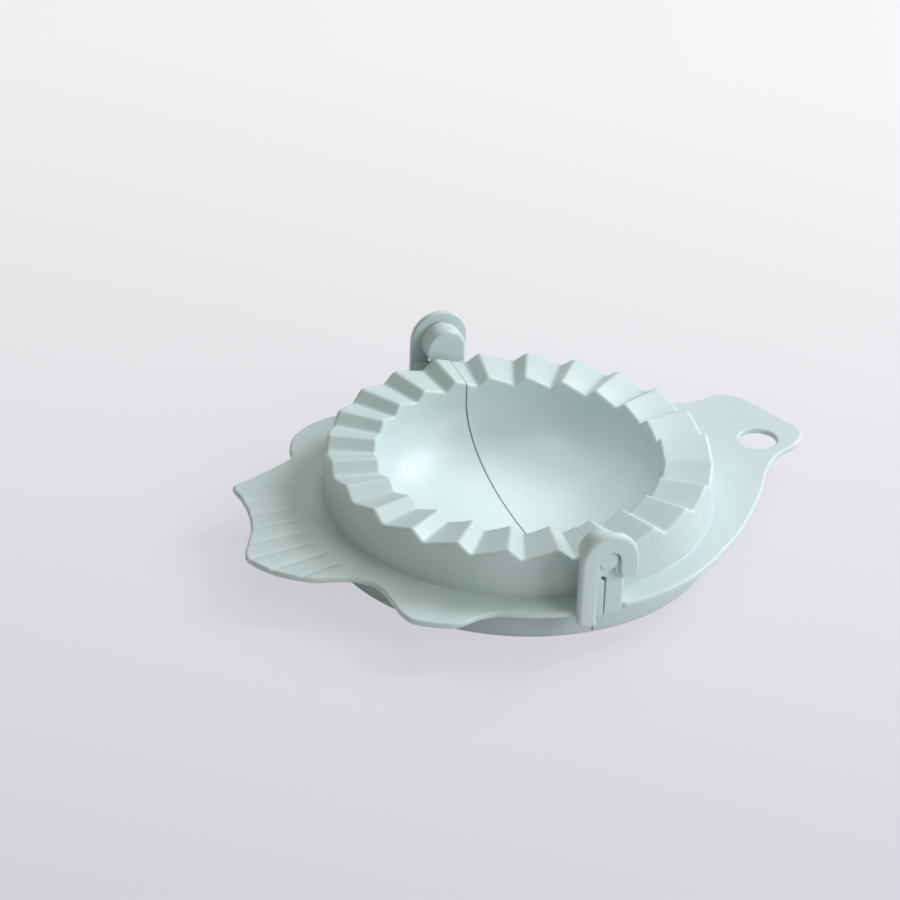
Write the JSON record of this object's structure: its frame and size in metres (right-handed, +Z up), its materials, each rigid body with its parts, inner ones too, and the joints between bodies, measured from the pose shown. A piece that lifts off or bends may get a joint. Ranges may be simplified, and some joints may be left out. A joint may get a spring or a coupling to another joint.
{
  "type": "empanada press",
  "caption": "Hinged dough press: two half bowls with toothed crimping rims on a ledged drum, a handle plate with a hanging hole and a grooved tail fan.",
  "frame": {"origin": "middle of the footprint's bounding box, on the table, with the press lying open and flat", "axes": "+X from the seam to the handle and its hanging hole, +Y along the seam and hinge line to the hinge that is farther away in the picture, +Z up"},
  "size_m": [0.1554, 0.1148, 0.0322],
  "materials": {
    "mint_plastic": "satin"
  },
  "bodies": {
    "tail_half": {"tail_bowl": "mint_plastic", "tail_crimp_rim": "mint_plastic", "tail_wall": "mint_plastic", "tail_ledge": "mint_plastic", "tail_fan": "mint_plastic", "hinge_hook_front": "mint_plastic", "hinge_hook_back": "mint_plastic"},
    "handle_half": {"handle_bowl": "mint_plastic", "handle_crimp_rim": "mint_plastic", "handle_wall": "mint_plastic", "handle_ledge": "mint_plastic", "handle_plate": "mint_plastic", "hinge_lug_front": "mint_plastic", "hinge_lug_back": "mint_plastic", "hinge_pin_front": "mint_plastic", "hinge_pin_back": "mint_plastic"}
  },
  "joints": [
    {"name": "fold", "type": "hinge", "parent": "tail_half", "child": "handle_half", "pos_m": [-0.00334, 0, 0.0247], "axis": [0, -1, 0], "range_deg": [0, 180]}
  ]
}
